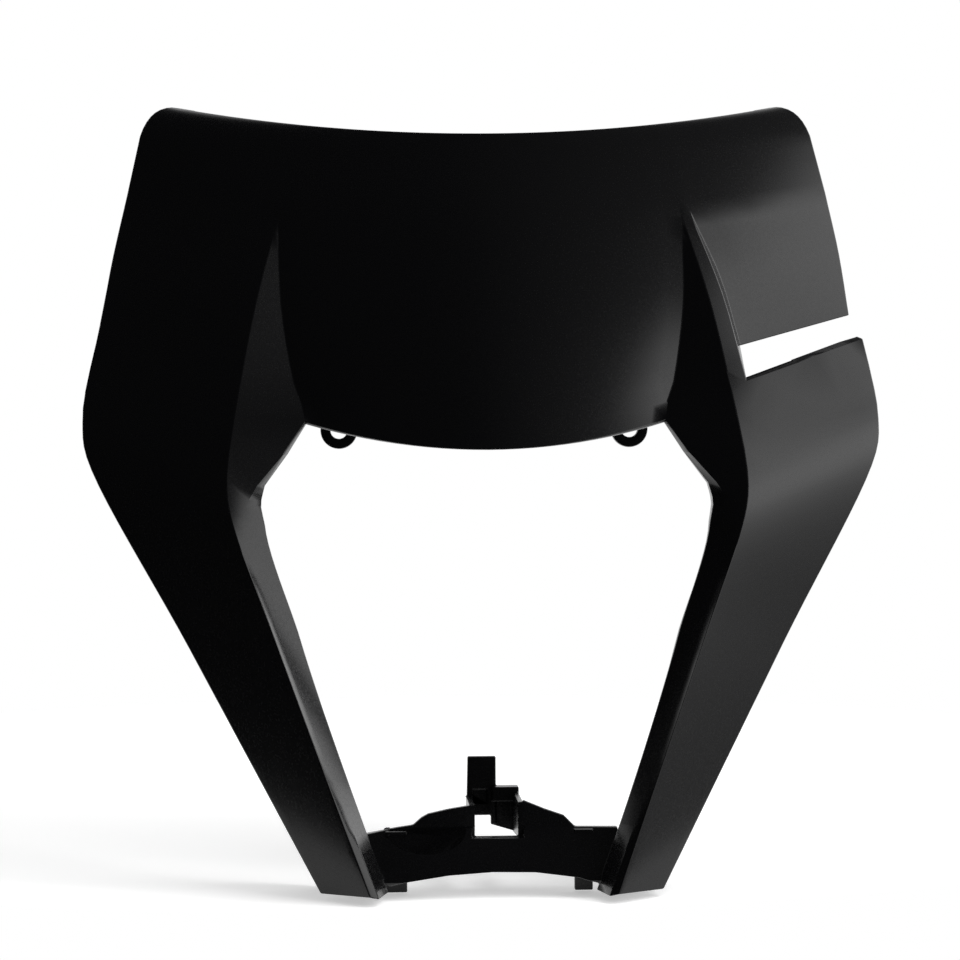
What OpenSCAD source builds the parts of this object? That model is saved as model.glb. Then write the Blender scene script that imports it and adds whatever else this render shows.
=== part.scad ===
// Headlight cowl of an off-road motorcycle: one injection moulding that holds the
// number-plate visor, the two side panels, the arms round the lamp and the lower bridge.
// +X is the rider's left, -Y is the way the lamp shines, +Z is up.
// The origin lies midway between the two eyelets that hang behind the visor.
// All points below are for the side with the hose slot (+X); the other side mirrors them.
// They are measured from a datum in front of the eyelets, at the back of the visor's lip.

/* [Visor] */
// Half the width of the straight part of the top edge
top_half = 107.5; // [104:0.5:112]
// Height of the middle of the top edge
top_rise = 105; // [100:1:110]
// How far the middle of the top edge leans back
top_back = 45; // [41:1:49]
// How far the top edge climbs from its middle to its ends
top_sag = 12.6; // [9:0.2:16]
// How far the top edge sweeps back from its middle to its ends
top_sweep = 26.5; // [23:0.5:31]
// Radius of the rounded top corners
corner_r = 13.5; // [9:0.5:15]
// Drop of the visor's lower edge below the eyelets, at its middle
lip_drop = 7.2; // [5:0.2:10]
// How far the middle of the lower edge bows forward of its ends
lip_reach = 20.5; // [18:0.5:23]

/* [Side panels] */
// Half the greatest width, at the outer bends of the side panels
bend_half = 136; // [130:1:140]
// Half the width of the outer edges at the bottom
foot_half = 55.5; // [52:0.5:59]
// Depth of the feet of the arms below the eyelets
foot_drop = 150; // [145:1:154]
// How far the front ridge stands forward at the feet
foot_reach = 42.6; // [39:0.2:46]
// Half the distance between the ridges at their corners
ridge_half = 85.5; // [83:0.5:88]
// Depth of the edge strip that turns back round the panels
edge_return = 4; // [3:0.25:5.5]

/* [Hose slot] */
// Width of the slot between the wing and the panel below it
slot_gap = 9.4; // [8:0.2:12]
// How far the wing above the slot lies behind the panel below it
wing_setback = 20; // [16:1:24]

/* [Lamp frame] */
// Half the width of the lamp window at its widest
window_half = 79.5; // [77:0.5:81]
// Width of the front flange that lines the lamp window
liner_depth = 5; // [4:0.25:7]

/* [Walls] */
// Thickness of the moulded wall
wall = 2.2; // [1.8:0.1:2.8]

/* [Eyelets] */
// Distance between the two eyelets
eyelet_span = 98; // [94:1:102]
// Bore of each eyelet
eyelet_bore = 5.6; // [4.6:0.2:6.6]
// Outer diameter of each eyelet
eyelet_od = 12.4; // [11:0.2:14]
// Thickness of the eyelets along their bore
eyelet_t = 3; // [2.4:0.2:3.6]
// How far the eyelets stand behind the visor's datum
eyelet_back = 9; // [8:0.5:11]

/* [Brackets] */
// Reach of each bracket behind the outer edge of the panel
bracket_reach = 43.8; // [40:0.2:48]
// Height of the strap slot
strap_slot_h = 19; // [15:1:21]
// Width of the strap slot
strap_slot_w = 4; // [3:0.5:5]
// Bore of the large hole
bracket_bore = 10; // [8:0.5:11]
// Bore of the small hole
pin_bore = 5; // [4:0.5:6]
// Thickness of the bracket plate
bracket_t = 2.6; // [2:0.2:3.2]

/* [Bridge] */
// Length of the bridge's ends inside the arms
bridge_bury = 13.5; // [12.5:0.5:15.5]
// Reach of the clip behind the bridge's crest
clip_reach = 31; // [24:1:34]

/* [Hidden] */

// Numbers of steps between the stations, from the top edge down to the feet:
// top edge, shoulder, fold, mid wing, slot, window corner, above bend, below bend,
// mid arm, foot.
STEPS = [8, 5, 5, 4, 2, 2, 4, 10, 12];
SHOULDER = 1;
FOLD = 2;
SLOT = 4;
CORNER = 5;
BEND_UNDER = 7;
FOOT = 9;
rows = concat([for (i = [0:len(STEPS) - 1]) for (k = [0:STEPS[i] - 1]) i + k / STEPS[i]], [FOOT]);

plate_cols = 12;
strip_cols = 1;
outer_cols = 7;
band_cols = 1;
wall_cols = 2;

function mix(a, b, t) = a + (b - a) * t;

// A smooth curve through the points p, where t = 0, 1, 2 ... are the points themselves. Each
// slope is weighted by the roots of the distances to both neighbours, against overshoot.
function slope(a, b, c) =
    let (u = sqrt(norm(b - a)), v = sqrt(norm(c - b)))
    u == 0 ? (c - b) / v : v == 0 ? (b - a) / u : ((b - a) / u * v + (c - b) / v * u) / (u + v);
function through(p, t) =
    let (
        n = len(p) - 1,
        i = min(floor(t), n - 1),
        f = t - i,
        b = p[i],
        c = p[i + 1],
        step = sqrt(norm(c - b))
    )
    step == 0 ? b :
        let (
            m = step * slope(p[max(i - 1, 0)], b, c),
            k = step * slope(b, c, p[min(i + 2, n)])
        )
        b + m * f + (3 * (c - b) - 2 * m - k) * f * f + (m + k - 2 * (c - b)) * f * f * f;

// The key points of the front surface.
top_mid = [0, top_back, top_rise];
top_end = [top_half, top_back + top_sweep, top_rise + top_sag];
shoulder = top_end + corner_r * [1, -0.54, -0.82];
fold_mid = [0, 19.5, 70];
fold_end = [bend_half - 11, 56.5, 85];
lip_mid = [0, -lip_reach, -lip_drop];
window_top = [60, -3, 2.6];
window_side = [window_half, -18.7, -28.5];
window_foot = [foot_half - 18.8, 1.2 - foot_reach, -foot_drop];
ridge_corner = [ridge_half, -17.5, -20];
ridge_foot = [foot_half - 16, -foot_reach, 0.7 - foot_drop];
outer_foot = [foot_half, 14.5 - foot_reach, -foot_drop];
outer_bend = [bend_half, 16, -1];
slot_front = [bend_half - 3, 30, 31.2];
slot_root = [88, 1, 16];
wing_tip = slot_front + [-1, wing_setback, slot_gap];
wing_root = slot_root + [2, 1.43 * wing_setback, slot_gap + 3.5];

// A point of a row of the visor at the share u of its width: a parabola in plan and in
// elevation.
function bow(mid, end, u) =
    let (d = end - mid)
    mid + [d.x * u, d.y * u * u, d.z * u * u];

// Places of the small features.
shelf_row = 4.35;
lug_inset = 2;
bracket_inset = 13;

// How much narrower the side without the slot is above its bend.
plain_trim = 1.5;

// Shares of the row along the fold where the band and the wing start.
band_share = 0.56;
wing_share = 0.587;

// Each curve has a list of its points at its stations, and beside it a list of the way
// into the wall there, for a wall 1 thick.
mid_line = [top_mid, [0, 38.5, 96], fold_mid, [0, 0, 36], [0, -14.3, 6], lip_mid];
mid_in = [[0, 0.8, -0.6], [0, 0.82, -0.57], [0, 0.84, -0.54], [0, 0.88, -0.48], [0, 0.9, -0.44],
    [0, 1, 0]];
turn_in = [[-0.6, 0.75, -0.75], [-1, 0.55, -0.35], [-1, 0.5, -0.3]];

band_apex = bow(fold_mid, fold_end, band_share);
band_apex_in = bow(mid_in[FOLD], turn_in[FOLD], band_share);
wing_apex = bow(fold_mid, fold_end, wing_share);
wing_apex_in = bow(mid_in[FOLD], turn_in[FOLD], wing_share);

valley = [band_apex, [68.6, 15, 43], [63.7, 3.5, 15.5], window_top,
    mix(window_top, window_side, 0.72) + [1.6, 0.4, 1.4], window_side, mix(window_side, window_foot, 0.31) + [2.4, 1.4, 0],
    window_foot];
valley_in = [band_apex_in, [-0.28, 0.82, -0.5], [-0.26, 0.86, -0.42], [0.3, 0.9, -0.3],
    [0.55, 0.85, -0.2], [0.6, 0.86, -0.1], [0.6, 0.88, 0], [0.6, 0.88, 0]];

ridge = [band_apex, [77.2, 12.3, 43.5], [82.3, -3, 12], [84.2, -9.7, -1.5],
    ridge_corner + [0, 2.8, 6.5], ridge_corner + [-0.9, -2.2, -6.5],
    mix(ridge_corner, ridge_foot, 0.36) + [1.2, -1.6, 0], ridge_foot];
ridge_in = [band_apex_in, [-0.12, 0.88, -0.44], [-0.1, 0.9, -0.42], [-0.1, 0.94, -0.36],
    [-0.1, 1, -0.2], [-0.1, 1.04, 0], [-0.1, 1.06, 0], [-0.1, 1.06, 0]];

strip_edge = [wing_apex, mix(wing_apex, slot_root, 0.5) + [1.6, -0.6, 0.4], slot_root];
strip_in = [wing_apex_in, [-0.95, 0.5, -0.3], [-0.95, 0.5, 0.2]];

wall_foot = [wing_apex, mix(wing_apex, wing_root, 0.5) + [1.6, -0.5, 0.8], wing_root];
wall_foot_in = [wing_apex_in, [-0.93, 0.67, 0], [-0.93, 0.67, 0]];

wing_edge = [fold_end, mix(fold_end, wing_tip, 0.5) + [0.5, -1, 0], wing_tip];
wing_in = [turn_in[FOLD], [-1, 0.56, -0.1], [-1, 0.56, 0]];

bend_under = outer_bend + [-2, -3.5, -7.5];
outer_edge = [slot_front, mix(slot_front, outer_bend, 0.55) + [0.9, 0, 0],
    outer_bend + [-0.2, 1, 4.5], bend_under, mix(bend_under, outer_foot, 0.45), outer_foot];
outer_in = [[-1, 0.56, 0.5], [-1, 0.56, -0.1], [-1, 0.56, 0], [-1, 0.56, 0], [-1, 0.56, 0],
    [-1, 0.56, 0]];

plain_edge = [fold_end, mix(fold_end, slot_front, 0.5) + [0.9, -0.8, -1], slot_front];
plain_in = [turn_in[FOLD], [-1, 0.54, -0.24], outer_in[0]];

// Depth of the rear wall behind the outer edge at a height: the scallops that clear the fork.
function wall_depth(z) = lookup(-z, [[4, edge_return], [18, 9], [29, 8], [39, 17.5], [47, 20],
    [70, 19], [94, 21], [105, 14], [114, 14.5], [127, 26], [foot_drop, 30]]);

// The greatest depth of that wall on the side without the slot.
function plain_depth(z) = lookup(-z, [[108, 12.5], [127, 26], [foot_drop, 30]]);

// Width of the side of the lamp window behind its front flange at a height.
function side_depth(z) = lookup(-z, [[-2, 2], [14, 5], [24, 8], [38, 4], [52, 2.4], [65, 4.4],
    [98, 7], [114, 18], [130, 20], [foot_drop, 18]]);
function side_lean(z) = lookup(-z, [[70, 0.3], [112, 3]]);

// How far the front flange reaches into the window, and how deep it is, at a height.
function liner_in(z) = lookup(-z, [[-2, 0.6], [16, 1.6], [22, 3.6], [30, 6.3], [66, 6.3], [110, 4.6],
    [foot_drop, 3]]);
function liner_back(z) = liner_depth * lookup(-z, [[-2, 0.6], [20, 0.8], [66, 1], [112, 1.1],
    [127, 1.4], [foot_drop, 2.6]]);

// The points of the curves at a row s, at the depth t in the wall.
function mid_at(s, t) = through(mid_line, s) + t * through(mid_in, s);
function lower_at(curve, inward, s, t) = through(curve, s - FOLD) + t * through(inward, s - FOLD);
function valley_at(s, t) = lower_at(valley, valley_in, s, t);
function ridge_at(s, t) = lower_at(ridge, ridge_in, s, t);

// The outer edge down to the slot, with its rounded top corner.
corner_pull = top_end + corner_r * [0.74, -0.05, 0.13];
function turn(s) =
    s < SHOULDER
        ? mix(mix(top_end, corner_pull, s), mix(corner_pull, shoulder, s), s)
        : mix(shoulder, fold_end, s - SHOULDER);
function high_edge(s, t, slot) =
    s <= FOLD ? turn(s) + t * through(turn_in, s)
    : slot ? lower_at(wing_edge, wing_in, s, t)
    : lower_at(plain_edge, plain_in, s, t);
function low_edge(s, t) = through(outer_edge, s - SLOT) + t * through(outer_in, s - SLOT);

// The rear edge of what turns back from an outer edge.
function turned(edge, depth, t) = edge + [0, depth, 0] + t * [-1, 0, 0];
function high_rear(s, t, slot) = turned(high_edge(s, 0, slot), edge_return, t);
function low_rear(s, t, slot) =
    let (e = low_edge(s, 0))
    turned(e, slot ? wall_depth(e.z) : min(wall_depth(e.z), plain_depth(e.z)), t);

// The two folds of the flange that lines the lamp window.
function liner_at(s, t) =
    let (v = valley_at(s, 0))
    v + [-liner_in(v.z), liner_back(v.z), 0] + t * [1, 0.36, 0];
function side_at(s, t) =
    let (v = liner_at(s, 0))
    v + [side_lean(v.z), side_depth(v.z), 0] + t * [1, 0, 0];

// The row along the fold, and how far it stands off the straight line from the wing's apex.
function fold_row(u, t) = bow(mid_at(FOLD, t), high_edge(FOLD, t, true), mix(wing_share, 1, u));
function crown(s, u, t) =
    (fold_row(u, t) - mix(fold_row(0, t), fold_row(1, t), u)) * max(0, 1 - (s - FOLD) / (SLOT - FOLD));

// The line beside the ridge where the wall down to the wing starts; it dies into the panel.
strip_share = 0.115;
function strip_at(s, t, slot) =
    slot && s <= SLOT ? lower_at(strip_edge, strip_in, s, t)
    : slot
        ? mix(ridge_at(s, t), low_edge(s, t), strip_share)
            + (lower_at(strip_edge, strip_in, SLOT, t)
                - mix(ridge_at(SLOT, t), low_edge(SLOT, t), strip_share)) * max(0, SLOT + 1 - s)
    : s <= SLOT
        ? let (f = (s - FOLD) / (SLOT - FOLD))
            mix(ridge_at(s, t), high_edge(s, t, false), strip_share * f)
                + (fold_row(0, t) - band_apex - t * band_apex_in) * (1 - f)
    : mix(ridge_at(s, t), low_edge(s, t), strip_share);

// A row of n equal steps between two points, and one that keeps the crown of the fold.
function span(a, b, n) = [for (k = [0:n]) mix(a, b, k / n)];
function crowned(a, b, s, t) = [for (k = [0:outer_cols])
    mix(a, b, k / outer_cols) + crown(s, k / outer_cols, t)];

// A row of the visor above the fold, between two shares of its width.
function upper_row(s, t, from, to, n) =
    let (m = mid_at(s, t), e = high_edge(s, t, true))
    [for (k = [0:n]) bow(m, e, mix(from, to, k / n))];

function rows_in(a, b) = [for (s = rows) if (s >= a && s <= b) s];

// The patches of one skin at the depth t in the wall. In each, rows run down and columns
// run outwards.
function skin(t, slot) =
    concat(
        [
            [for (s = rows_in(0, FOLD)) upper_row(s, t, 0, band_share, plate_cols)],
            [for (s = rows_in(0, FOLD)) upper_row(s, t, band_share, wing_share, strip_cols)],
            [for (s = rows_in(0, FOLD)) upper_row(s, t, wing_share, 1, outer_cols)],
            [for (s = rows_in(FOLD, CORNER)) let (m = mid_at(s, t), e = valley_at(s, t))
                [for (k = [0:plate_cols]) bow(m, e, k / plate_cols)]],
            [for (s = rows_in(FOLD, FOOT)) span(valley_at(s, t), ridge_at(s, t), band_cols)],
            [for (s = rows_in(FOLD, FOOT)) span(ridge_at(s, t), strip_at(s, t, slot), strip_cols)],
            [for (s = rows_in(CORNER, FOOT)) span(liner_at(s, t), valley_at(s, t), 1)],
            [for (s = rows_in(CORNER, FOOT)) span(side_at(s, t), liner_at(s, t), 1)],
            [for (s = rows_in(SLOT, FOOT)) crowned(strip_at(s, t, slot), low_edge(s, t), s, t)],
            [for (s = rows_in(0, SLOT)) span(high_edge(s, t, slot), high_rear(s, t, slot), 1)],
            [for (s = rows_in(SLOT, FOOT)) span(low_edge(s, t), low_rear(s, t, slot), 1)]
        ],
        slot
            ? [
                [for (s = rows_in(FOLD, SLOT))
                    span(strip_at(s, t, true), lower_at(wall_foot, wall_foot_in, s, t), wall_cols)],
                [for (s = rows_in(FOLD, SLOT))
                    crowned(lower_at(wall_foot, wall_foot_in, s, t), high_edge(s, t, true), s, t)]
            ]
            : [[for (s = rows_in(FOLD, SLOT))
                crowned(strip_at(s, t, false), high_edge(s, t, false), s, t)]]
    );

// Which edges of each patch are free: first row, last row, first column, last column.
function free(slot) =
    concat(
        [
            [1, 0, 0, 0], [1, 0, 0, 0], [1, 0, 0, 0], [0, 1, 0, 0], [0, 1, 0, 0], [0, 1, 0, 0],
            [1, 1, 0, 0], [1, 1, 1, 0], [slot ? 1 : 0, 1, 0, 0],
            [1, slot ? 1 : 0, 0, 1], [slot ? 1 : 0, 1, 0, 1]
        ],
        slot ? [[0, 1, 0, 0], [0, 1, 0, 0]] : [[0, 0, 0, 0]]
    );

function reverse(p) = [for (i = [len(p) - 1:-1:0]) p[i]];
function last(p) = p[len(p) - 1];

// The outer face, the inner face and the rims of one patch.
function sheet(front, back, open) =
    concat(
        [front, [for (r = back) reverse(r)]],
        open[0] ? [[back[0], front[0]]] : [],
        open[1] ? [[last(front), last(back)]] : [],
        open[2] ? [[for (i = [0:len(front) - 1]) [back[i][0], front[i][0]]]] : [],
        open[3] ? [[for (i = [0:len(front) - 1]) [last(front[i]), last(back[i])]]] : []
    );

function half(slot) =
    let (front = skin(0, slot), back = skin(wall, slot), open = free(slot))
    [for (i = [0:len(front) - 1]) each sheet(front[i], back[i], open[i])];

// The other side is a little narrower above its bend.
function trimmed(p) = p.x - plain_trim * pow(p.x / bend_half, 2) * lookup(p.z, [[10, 0], [50, 1]]);
function mirrored(grid) = [for (r = grid) [for (i = [len(r) - 1:-1:0]) [-trimmed(r[i]), r[i].y, r[i].z]]];

// Points are moved to a fine grid so that the edges of neighbouring patches meet exactly.
GRID = 1 / 64;
function snapped(grid) = [for (r = grid) [for (p = r) [for (c = p) round(c / GRID) * GRID]]];

// A triangle of a cell, left out where two of its corners fall together.
function triangle(g, a, b, c) =
    let (p = g[a.x][a.y], q = g[b.x][b.y], r = g[c.x][c.y])
    p == q || q == r || r == p ? [] : [[a, b, c]];

module surface_of(grids) {
    widths = [for (g = grids) len(g[0])];
    counts = [for (g = grids) len(g) * len(g[0])];
    starts = [for (i = 0, n = 0; i < len(grids); n = n + counts[i], i = i + 1) n];
    points = [for (g = grids) for (r = g) each r];
    faces = [
        for (n = [0:len(grids) - 1])
            for (i = [0:len(grids[n]) - 2])
                for (k = [0:widths[n] - 2])
                    for (f = concat(
                        triangle(grids[n], [i, k], [i, k + 1], [i + 1, k + 1]),
                        triangle(grids[n], [i, k], [i + 1, k + 1], [i + 1, k])
                    ))
                        [for (c = f) starts[n] + c.x * widths[n] + c.y]
    ];
    polyhedron(points, faces, convexity = 12);
}

module shell() {
    right = half(true);
    left = [for (g = half(false)) mirrored(g)];
    surface_of([for (g = concat(right, left)) snapped(g)]);
}

// One eyelet behind the visor, hung from a small shelf that grows out of the visor's wall.
function visor_at(x, s) =
    let (m = mid_at(s, wall / 2), v = valley_at(s, wall / 2))
    bow(m, v, x / v.x);
module eyelet() {
    x = eyelet_span / 2;
    half_w = 0.38 * eyelet_od;
    root = [for (dx = [-half_w:half_w / 2:half_w]) visor_at(x + dx, shelf_row)];
    shelf_z = visor_at(x, shelf_row).z - wall / 2;
    rear = eyelet_back + eyelet_t / 2;
    translate([0, 0, shelf_z])
        linear_extrude(wall)
            polygon(concat([for (p = root) [p.x, p.y]], [[x + half_w, rear], [x - half_w, rear]]));
    translate([x, rear, 0])
        rotate([90, 0, 0])
            linear_extrude(eyelet_t)
                difference() {
                    union() {
                        circle(d = eyelet_od, $fn = 48);
                        translate([-half_w, 0]) square([2 * half_w, shelf_z + wall]);
                    }
                    circle(d = eyelet_bore, $fn = 48);
                }
}

// The lug behind the upper corner of the lamp window that steadies the lamp.
module lug() {
    translate([window_side.x - lug_inset, 0, 0])
        rotate([90, 0, 90])
            linear_extrude(wall)
                polygon([[-12.4, -16], [-7, -5], [-4, -1.6], [6.6, -1.8], [10.4, -9.4], [7.5, -14.3], [7.3, -24],
                    [-8.4, -29.5], [-12.5, -26]]);
}

// The bracket plate behind the outer edge of the panel, with its strap slot and holes.
// Its front edge follows the middle of the panel's wall.
module bracket(slot) {
    x = slot_front.x - bracket_inset;
    root = [for (s = [SLOT:0.5:BEND_UNDER])
        let (a = strip_at(s, wall / 2, slot), b = low_edge(s, wall / 2), p = mix(a, b, (x - a.x) / (b.x - a.x)))
        [p.y - slot_front.y, p.z]];
    tip = bracket_reach;
    translate([x - bracket_t / 2, slot_front.y, 0])
        rotate([90, 0, 90])
            linear_extrude(bracket_t)
                difference() {
                    polygon(concat(root, [[-5, -20.6], [tip - 27, -10.3], [tip - 9, -2.6], [tip - 7.4, -0.8],
                        [tip, 18.5], [tip - 0.4, 20.8], [tip - 2.8, 22.5], [17, 26.7], [2, 27.2]]));
                    translate([tip - 8.4, 11.2])
                        rotate(-12.6)
                            translate([-strap_slot_w / 2, -strap_slot_h / 2])
                                square([strap_slot_w, strap_slot_h]);
                    translate([tip - 24.7, 2.3]) circle(d = pin_bore, $fn = 40);
                    translate([tip - 36.1, -0.5]) circle(d = bracket_bore, $fn = 48);
                }
    for (z = [18.6, 23.2])
        translate([x, slot_front.y, z])
            linear_extrude(1.6)
                polygon([[0, -6], [0, 14], [bracket_inset + 0.6, 1], [bracket_inset + 0.6, -2]]);
}

// A profile drawn in Y and Z, as thick as w from x on.
module upright(x, w) {
    translate([x, 0, 0])
        rotate([90, 0, 90])
            linear_extrude(w)
                children();
}

// A profile drawn in X and Z, as seen from the front, as deep as d from y on.
module facing(y, d) {
    translate([0, y + d, 0])
        rotate([90, 0, 0])
            linear_extrude(d)
                children();
}

// The bridge between the feet is drawn from the feet of the ridges.
bridge_half = foot_half - bridge_bury;
crest_y = 29.6;
bridge_depth = crest_y + 20;
notch_left = -5;
notch_right = 11;
// The bridge's outline as seen from the front.
module bridge_front() {
    facing(0, bridge_depth)
        polygon([[-bridge_half, 0], [-28, 3.4], [-14, 5.2], [0, 6], [14, 5.8], [28, 4.2],
            [bridge_half, 0], [bridge_half, 18.5], [28, 18.7], [27, 19.7], [24.3, 22.4],
            [18, 24.6], [notch_right, 27.5], [notch_left, 26.2], [-14, 24.8], [-20.4, 23.4],
            [-22.6, 22.2], [-25.4, 19.8], [-31, 19], [-bridge_half, 17]]);
}

// A sloping plate with a raised arched lip along its crest, a sunk seat, two legs and a clip.
module bridge() {
    difference() {
        union() {
            difference() {
                intersection() {
                    upright(-bridge_half, 2 * bridge_half)
                        polygon([[12.6, 3.4], [14.2, 1.8], [crest_y + 1.8, 17.8], [crest_y, 19.2]]);
                    bridge_front();
                }
                seat(6, 1.5);
            }
            intersection() {
                upright(-bridge_half, 2 * bridge_half)
                    polygon([[crest_y, 11], [crest_y + 2, 11], [crest_y + 2.2, 30], [crest_y, 30]]);
                bridge_front();
            }
        }
        facing(0, bridge_depth)
            polygon([[notch_left - 1, 15.7], [notch_right, 15.7], [notch_right, 40], [notch_left, 40],
                [notch_left, 18.8], [notch_left - 1, 18.8]]);
    }
    for (leg = [[7.6 - bridge_half, 7], [bridge_half - 14.4, 6]])
        translate([leg.x, crest_y - 2.4, -2]) cube([leg.y, 2.4, 20]);
    intersection() {
        difference() {
            seat(1.2, 0);
            seat(6, 1.5);
        }
        translate([-bridge_half, 0, 0]) cube([2 * bridge_half, crest_y + 1, crest_y]);
    }
    clip(crest_y + clip_reach);
}

// The oval of the sunk seat in the slope of the bridge, up to the height h. Its inside is the
// same oval, smaller by a wall.
seat_half = 14;
seat_reach = 11;
seat_sink = 3.4;
module seat(h, wall) {
    translate([seat_half - bridge_half + 7, crest_y, 16.6])
        rotate([43, 0, 0])
            translate([0, 0, wall - seat_sink])
                linear_extrude(h + seat_sink - wall)
                    scale([(seat_half - wall) / (seat_reach - wall), 1])
                        circle(r = seat_reach - wall, $fn = 48);
}

// The clip behind the bridge: two side walls that end in a post and a hook.
module clip(rear) {
    upright(notch_left - 1.8, 1.8)
        polygon([[crest_y, 12], [crest_y, 26.1], [rear, 25.4], [rear, 13.6], [crest_y + 14, 10],
            [crest_y + 4, 10]]);
    upright(notch_right - 1.8, 1.8)
        polygon([[crest_y, 15.4], [crest_y, 27], [rear, 27], [rear, 13.2]]);
    difference() {
        facing(rear - 2.4, 2.4)
            polygon([[notch_left - 1.8, 15.2], [notch_left, 15.2], [notch_left, 19], [1.6, 19],
                [1.6, 15.8], [3.4, 15.8], [3.4, 39], [notch_left - 1.2, 39]]);
        translate([notch_left + 0.6, rear - 3, 23.2]) cube([4.8, 1.8, 4.6]);
    }
    facing(rear - 1.8, 1.8)
        polygon([[2, 24.6], [2, 15.8], [notch_right, 13.1], [notch_right, 24.6]]);
    translate([2, rear - 6, 24]) cube([notch_right - 2, 6, 5]);
}

module cowl() {
    color("#0c0c0d")
        translate([0, -eyelet_back, 0]) {
            shell();
            for (side = [0, 1])
                mirror([side, 0, 0]) {
                    eyelet();
                    lug();
                    bracket(side == 0);
                }
            translate([0, -foot_reach, -foot_drop]) bridge();
        }
}

cowl();
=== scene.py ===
"""The looks of a headlight cowl moulded in gloss black plastic, on a white table in a studio."""
import math

import bmesh
import bpy
from mathutils import Matrix, Vector
from mathutils.bvhtree import BVHTree


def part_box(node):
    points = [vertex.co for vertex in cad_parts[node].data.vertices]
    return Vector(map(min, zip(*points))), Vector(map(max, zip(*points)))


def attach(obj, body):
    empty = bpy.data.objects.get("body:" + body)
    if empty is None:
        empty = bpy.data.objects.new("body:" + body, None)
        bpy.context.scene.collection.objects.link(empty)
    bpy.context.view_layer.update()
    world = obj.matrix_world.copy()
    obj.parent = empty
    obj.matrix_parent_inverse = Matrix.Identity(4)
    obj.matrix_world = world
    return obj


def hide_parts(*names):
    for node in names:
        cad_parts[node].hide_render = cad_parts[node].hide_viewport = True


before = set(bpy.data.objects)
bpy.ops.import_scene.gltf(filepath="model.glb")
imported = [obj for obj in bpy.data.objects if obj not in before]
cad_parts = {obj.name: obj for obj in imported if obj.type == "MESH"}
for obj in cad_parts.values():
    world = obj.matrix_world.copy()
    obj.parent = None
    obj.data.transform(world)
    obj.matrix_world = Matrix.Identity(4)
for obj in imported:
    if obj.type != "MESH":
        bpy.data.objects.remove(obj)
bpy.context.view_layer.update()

MM = 0.001

# The photographer's view: almost straight from the front, level with the lamp. Lens and sensor
# are in millimetres, and the farthest sight in metres.
VIEW_AZIMUTH = math.radians(-2.5)
VIEW_ROLL = math.radians(-0.4)
VIEW_DISTANCE = 909 * MM
VIEW_TARGET = Vector((0, 36, -17)) * MM
LENS = 97.0
SENSOR = 36.0
SIGHT = 20.0

# The merged copy: corners closer than this are one, and facets this flat are one face.
WELD = 0.05 * MM
FLAT_ANGLE = math.radians(0.2)

# The rounding of the mould's creases, and how far from a failed corner they stay sharp.
CREASE_ANGLE = math.radians(32)
CREASE_ROUND = 0.45 * MM
CREASE_STEPS = 2
SPARE_REACH = 6 * MM

# The plastic: how far apart its slow waves and its fine grain lie, and its range of roughness.
WAVE_LENGTH = 18 * MM
WAVE_DEPTH = 0.4 * MM
WAVE_STRENGTH = 0.05
GRAIN_LENGTH = 0.9 * MM
GRAIN_RANGE = (0.3, 0.7)
ROUGHNESS_RANGE = (0.22, 0.29)

# The table: its front edge is just before the cowl, and its middle is well behind it.
FLOOR_RADIUS = 400 * MM
FLOOR_MIDDLE = (-20 * MM, 340 * MM)
FLOOR_GAP = 0.5 * MM
FLOOR_SIDES = 128
PAPER_GLOW = 0.42

# The room that the gloss mirrors, by the direction it is mirrored in: from and to along one
# axis, and the brightness at each.
WHITE = (1, 1, 1, 1)
WALL_ACROSS = (0.52, 0.76, 0.0, 3.3)
WALL_TOP = (0.4, 0.85, 1.0, 0.45)
WALL_FOOT = (-0.32, 0.32, 0.05, 1.0)
SPILL_ACROSS = (0.0, 0.5, 0.01, 0.22)
BACKDROP_BEHIND = (0.35, 0.6, 0.0, 1.0)
ROOM_LIGHT = 0.5

# The lamps, in metres and watts; both aim at the origin, between the eyelets.
AIM = (0, 0, 0)
KEY_PLACE, KEY_SIZE, KEY_POWER = (1.25, -1.0, 0.75), (0.9, 1.1), 16
TOP_PLACE, TOP_SIZE, TOP_POWER = (0.75, -0.35, 1.25), (0.9, 0.5), 7


def linear(code):
    """The linear colour of an sRGB hex value, by the sRGB standard's curve."""
    parts = [int(code[i:i + 2], 16) / 255 for i in (1, 3, 5)]
    return tuple(c / 12.92 if c <= 0.04045 else ((c + 0.055) / 1.055) ** 2.4
                 for c in parts) + (1.0,)


def add(tree, kind, settings=None, links=None):
    """Adds a node, sets its properties and sockets, and links its inputs."""
    node = tree.nodes.new(kind)
    for name, value in (settings or {}).items():
        if hasattr(node, name):
            setattr(node, name, value)
        else:
            node.inputs[name].default_value = value
    for name, source in (links or {}).items():
        tree.links.new(source, node.inputs[name])
    return node


def ramp(values):
    """The settings of a map range: from, to, and the value at each."""
    return dict(zip(("From Min", "From Max", "To Min", "To Max"), values))


def new_material(name):
    """A new material with an empty node tree."""
    material = bpy.data.materials.new(name)
    material.use_nodes = True
    material.node_tree.nodes.clear()
    return material, material.node_tree


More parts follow.
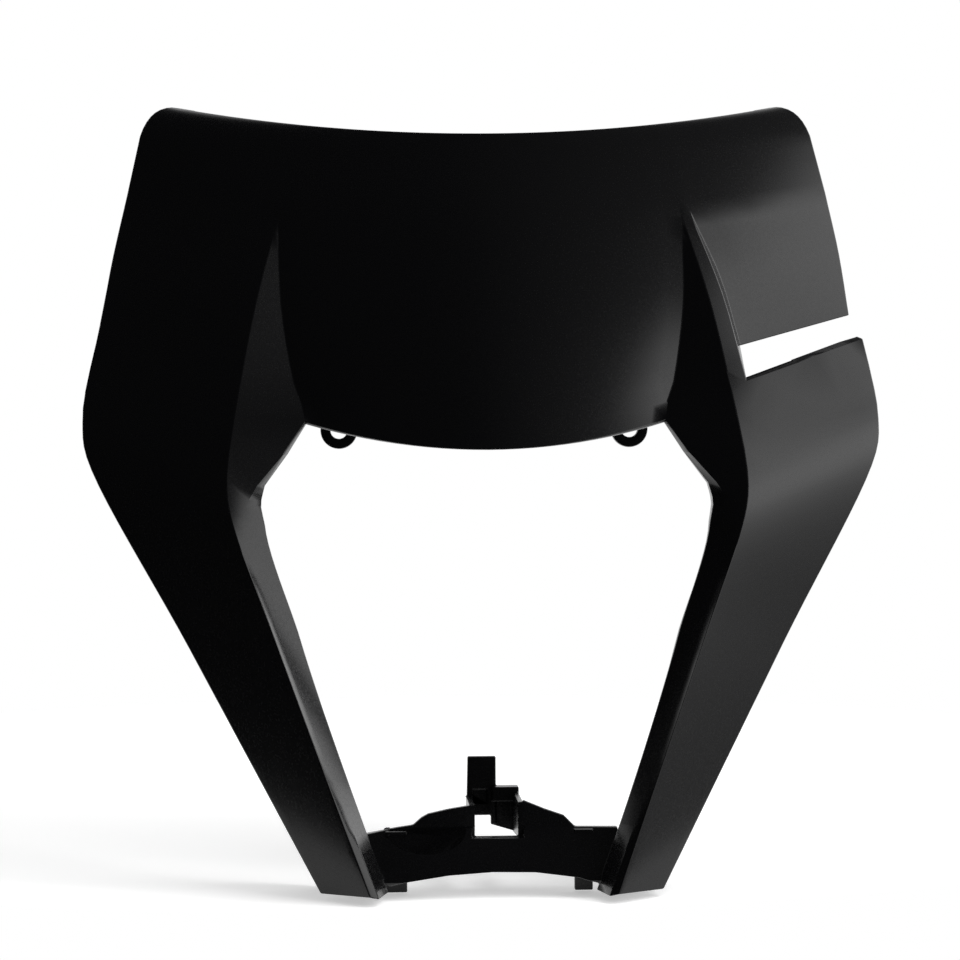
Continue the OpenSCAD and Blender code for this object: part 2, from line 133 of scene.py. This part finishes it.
def gloss_black_polypropylene():
    """Polypropylene dyed through, moulded against a polished steel tool: a deep black with a
    soft, slightly wavy gloss, and sheen only where something pale is mirrored."""
    material, tree = new_material("gloss_black_polypropylene")
    place = add(tree, "ShaderNodeTexCoord")
    flow = add(tree, "ShaderNodeTexNoise", {"Scale": 1 / WAVE_LENGTH, "Detail": 1.0},
               {"Vector": place.outputs["Object"]})
    grain = add(tree, "ShaderNodeTexNoise", {"Scale": 1 / GRAIN_LENGTH, "Detail": 2.0},
                {"Vector": place.outputs["Object"]})
    gloss = add(tree, "ShaderNodeMapRange", ramp(GRAIN_RANGE + ROUGHNESS_RANGE),
                {"Value": grain.outputs["Fac"]})
    wave = add(tree, "ShaderNodeBump", {"Strength": WAVE_STRENGTH, "Distance": WAVE_DEPTH},
               {"Height": flow.outputs["Fac"]})
    shader = add(tree, "ShaderNodeBsdfPrincipled",
                 {"Base Color": linear("#050506"), "IOR": 1.49, "Specular IOR Level": 0.32},
                 {"Roughness": gloss.outputs["Result"], "Normal": wave.outputs["Normal"]})
    out = add(tree, "ShaderNodeOutputMaterial")
    tree.links.new(shader.outputs["BSDF"], out.inputs["Surface"])
    return material


def white_paper():
    """Matt white background paper. The eye, and what mirrors it, sees it as plain white, and it
    still takes the soft shadow of the cowl."""
    material, tree = new_material("white_paper")
    path = add(tree, "ShaderNodeLightPath")
    seen = add(tree, "ShaderNodeMath", {"operation": "MAXIMUM"})
    tree.links.new(path.outputs["Is Camera Ray"], seen.inputs[0])
    tree.links.new(path.outputs["Is Glossy Ray"], seen.inputs[1])
    shown = add(tree, "ShaderNodeMath", {"operation": "MAXIMUM"})
    tree.links.new(seen.outputs["Value"], shown.inputs[0])
    tree.links.new(path.outputs["Is Transmission Ray"], shown.inputs[1])
    paper = add(tree, "ShaderNodeBsdfDiffuse", {"Color": linear("#f2f2f2")})
    glow = add(tree, "ShaderNodeEmission", {"Color": WHITE, "Strength": PAPER_GLOW})
    both = add(tree, "ShaderNodeAddShader")
    tree.links.new(paper.outputs["BSDF"], both.inputs[0])
    tree.links.new(glow.outputs["Emission"], both.inputs[1])
    mix = add(tree, "ShaderNodeMixShader")
    tree.links.new(shown.outputs["Value"], mix.inputs["Fac"])
    tree.links.new(paper.outputs["BSDF"], mix.inputs[1])
    tree.links.new(both.outputs["Shader"], mix.inputs[2])
    out = add(tree, "ShaderNodeOutputMaterial")
    tree.links.new(mix.outputs["Shader"], out.inputs["Surface"])
    return material


def select_only(obj):
    """Makes the object the only selected one, and the active one."""
    bpy.ops.object.select_all(action="DESELECT")
    obj.select_set(True)
    bpy.context.view_layer.objects.active = obj


def round_creases(shell, spared):
    """Rounds every crease of the shell, but for those near one of the spared places. The edges
    are let go in the edit mesh, where the bevel heeds it."""
    select_only(shell)
    bpy.ops.object.mode_set(mode="EDIT")
    bpy.ops.mesh.select_mode(type="EDGE")
    bpy.ops.mesh.select_all(action="DESELECT")
    bpy.ops.mesh.edges_select_sharp(sharpness=CREASE_ANGLE)
    edit = bmesh.from_edit_mesh(shell.data)
    for edge in [edge for edge in edit.edges if edge.select]:
        if any((end.co - place).length < SPARE_REACH for end in edge.verts for place in spared):
            edge.select_set(False)
    edit.select_flush_mode()
    bmesh.update_edit_mesh(shell.data)
    bpy.ops.mesh.bevel(offset=CREASE_ROUND, offset_type="OFFSET", segments=CREASE_STEPS,
                       affect="EDGES", clamp_overlap=False, loop_slide=False)
    bpy.ops.mesh.select_all(action="SELECT")
    bpy.ops.mesh.quads_convert_to_tris()
    bpy.ops.object.mode_set(mode="OBJECT")


def stray_corners(shell, solid):
    """Where the rounding has thrown corners off the solid, and the nearest places on it."""
    skin = BVHTree.FromObject(solid, bpy.context.evaluated_depsgraph_get())
    finds = [(corner, skin.find_nearest(corner.co)) for corner in shell.data.vertices]
    return [(corner, find[0]) for corner, find in finds if find[3] > CREASE_ROUND]


def moulded_cowl(material):
    """The moulding, from a merged copy of its solid, with its creases rounded as a mould leaves
    them and the curved walls smooth. A trial shows where creases meet too closely to be
    rounded, and those few stay sharp. The large faces lead the shading, so that the narrow
    rounded edges don't smear into them."""
    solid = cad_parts["cowl"]
    shell = bpy.data.objects.new("moulded_cowl", solid.data.copy())
    bpy.context.scene.collection.objects.link(shell)
    shell.data.materials.clear()
    shell.data.materials.append(material)
    select_only(shell)
    bpy.ops.object.mode_set(mode="EDIT")
    bpy.ops.mesh.select_all(action="SELECT")
    bpy.ops.mesh.remove_doubles(threshold=WELD)
    bpy.ops.mesh.customdata_custom_splitnormals_clear()
    bpy.ops.mesh.dissolve_limited(angle_limit=FLAT_ANGLE)
    bpy.ops.object.mode_set(mode="OBJECT")
    trial = shell.copy()
    trial.data = shell.data.copy()
    bpy.context.scene.collection.objects.link(trial)
    round_creases(trial, [])
    spared = [place for corner, place in stray_corners(trial, solid)]
    bpy.data.objects.remove(trial)
    round_creases(shell, spared)
    for corner, place in stray_corners(shell, solid):
        corner.co = place
    bpy.ops.object.shade_smooth_by_angle(angle=CREASE_ANGLE)
    weigh = shell.modifiers.new("even_shading", "WEIGHTED_NORMAL")
    weigh.keep_sharp = True
    bpy.ops.object.modifier_apply(modifier=weigh.name)
    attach(shell, "root")
    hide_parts("cowl")


def round_floor(material):
    """The white table top that the cowl stands on."""
    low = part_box("cowl")[0]
    bpy.ops.object.select_all(action="DESELECT")
    bpy.ops.mesh.primitive_circle_add(vertices=FLOOR_SIDES, radius=FLOOR_RADIUS, fill_type="NGON",
                                      location=(*FLOOR_MIDDLE, low.z - FLOOR_GAP))
    floor = bpy.context.active_object
    floor.name = "floor"
    bpy.ops.object.transform_apply(location=True, rotation=True, scale=True)
    floor.data.materials.append(material)


def camera():
    """The camera of the photographer's view, level, with the roll about its line of sight."""
    back = Vector((math.sin(VIEW_AZIMUTH), -math.cos(VIEW_AZIMUTH), 0))
    across = Vector((math.cos(VIEW_AZIMUTH), math.sin(VIEW_AZIMUTH), 0))
    up = back.cross(across)
    side = math.cos(VIEW_ROLL) * across + math.sin(VIEW_ROLL) * up
    top = back.cross(side)
    data = bpy.data.cameras.new("camera")
    data.lens = LENS
    data.sensor_width = SENSOR
    data.clip_end = SIGHT
    seat = bpy.data.objects.new("camera", data)
    seat.matrix_world = Matrix.Translation(VIEW_TARGET + back * VIEW_DISTANCE) @ Matrix(
        (side, top, back)).transposed().to_4x4()
    bpy.context.scene.collection.objects.link(seat)
    bpy.context.scene.camera = seat


def softbox(name, place, size, power):
    """A rectangular lamp that lights the cowl and the table, and that the gloss doesn't mirror."""
    data = bpy.data.lights.new(name, "AREA")
    data.shape = "RECTANGLE"
    data.size, data.size_y = size
    data.energy = power
    lamp = bpy.data.objects.new(name, data)
    lamp.location = place
    lamp.rotation_euler = (Vector(place) - Vector(AIM)).to_track_quat("Z", "Y").to_euler()
    lamp.visible_glossy = False
    bpy.context.scene.collection.objects.link(lamp)


def room():
    """The studio: a white backdrop behind the cowl, which its gloss mirrors too, a tall pale
    wall on the rider's left that fades above and below, and a dark room all round the rest."""
    world = bpy.data.worlds.new("studio")
    bpy.context.scene.world = world
    world.use_nodes = True
    tree = world.node_tree
    tree.nodes.clear()
    place = add(tree, "ShaderNodeTexCoord")
    ways = add(tree, "ShaderNodeSeparateXYZ", {}, {"Vector": place.outputs["Generated"]})
    soft = {"interpolation_type": "SMOOTHSTEP"}
    wall = add(tree, "ShaderNodeMapRange", {**soft, **ramp(WALL_ACROSS)},
               {"Value": ways.outputs["X"]})
    top = add(tree, "ShaderNodeMapRange", {**soft, **ramp(WALL_TOP)},
              {"Value": ways.outputs["Z"]})
    foot = add(tree, "ShaderNodeMapRange", {**soft, **ramp(WALL_FOOT)},
               {"Value": ways.outputs["Z"]})
    spill = add(tree, "ShaderNodeMapRange", ramp(SPILL_ACROSS), {"Value": ways.outputs["X"]})
    below = add(tree, "ShaderNodeMath", {"operation": "MULTIPLY"})
    tree.links.new(wall.outputs["Result"], below.inputs[0])
    tree.links.new(foot.outputs["Result"], below.inputs[1])
    pale = add(tree, "ShaderNodeMath", {"operation": "MULTIPLY_ADD"})
    tree.links.new(below.outputs["Value"], pale.inputs[0])
    tree.links.new(top.outputs["Result"], pale.inputs[1])
    tree.links.new(spill.outputs["Result"], pale.inputs[2])
    backdrop = add(tree, "ShaderNodeMapRange", ramp(BACKDROP_BEHIND),
                   {"Value": ways.outputs["Y"]})
    brighter = add(tree, "ShaderNodeMath", {"operation": "MAXIMUM"})
    tree.links.new(pale.outputs["Value"], brighter.inputs[0])
    tree.links.new(backdrop.outputs["Result"], brighter.inputs[1])
    path = add(tree, "ShaderNodeLightPath")
    mirrored = add(tree, "ShaderNodeBackground", {"Color": WHITE},
                   {"Strength": brighter.outputs["Value"]})
    plain = add(tree, "ShaderNodeBackground", {"Color": WHITE, "Strength": ROOM_LIGHT})
    white = add(tree, "ShaderNodeBackground", {"Color": WHITE, "Strength": 1.0})
    lit = add(tree, "ShaderNodeMixShader", {}, {"Fac": path.outputs["Is Glossy Ray"]})
    tree.links.new(plain.outputs["Background"], lit.inputs[1])
    tree.links.new(mirrored.outputs["Background"], lit.inputs[2])
    clear = add(tree, "ShaderNodeMath", {"operation": "MAXIMUM"})
    tree.links.new(path.outputs["Is Camera Ray"], clear.inputs[0])
    tree.links.new(path.outputs["Is Transmission Ray"], clear.inputs[1])
    seen = add(tree, "ShaderNodeMixShader", {}, {"Fac": clear.outputs["Value"]})
    tree.links.new(lit.outputs["Shader"], seen.inputs[1])
    tree.links.new(white.outputs["Background"], seen.inputs[2])
    out = add(tree, "ShaderNodeOutputWorld")
    tree.links.new(seen.outputs["Shader"], out.inputs["Surface"])


camera()
bpy.context.scene.view_settings.view_transform = "Standard"
room()
softbox("key_right", KEY_PLACE, KEY_SIZE, KEY_POWER)
softbox("top_right", TOP_PLACE, TOP_SIZE, TOP_POWER)
round_floor(white_paper())
moulded_cowl(gloss_black_polypropylene())
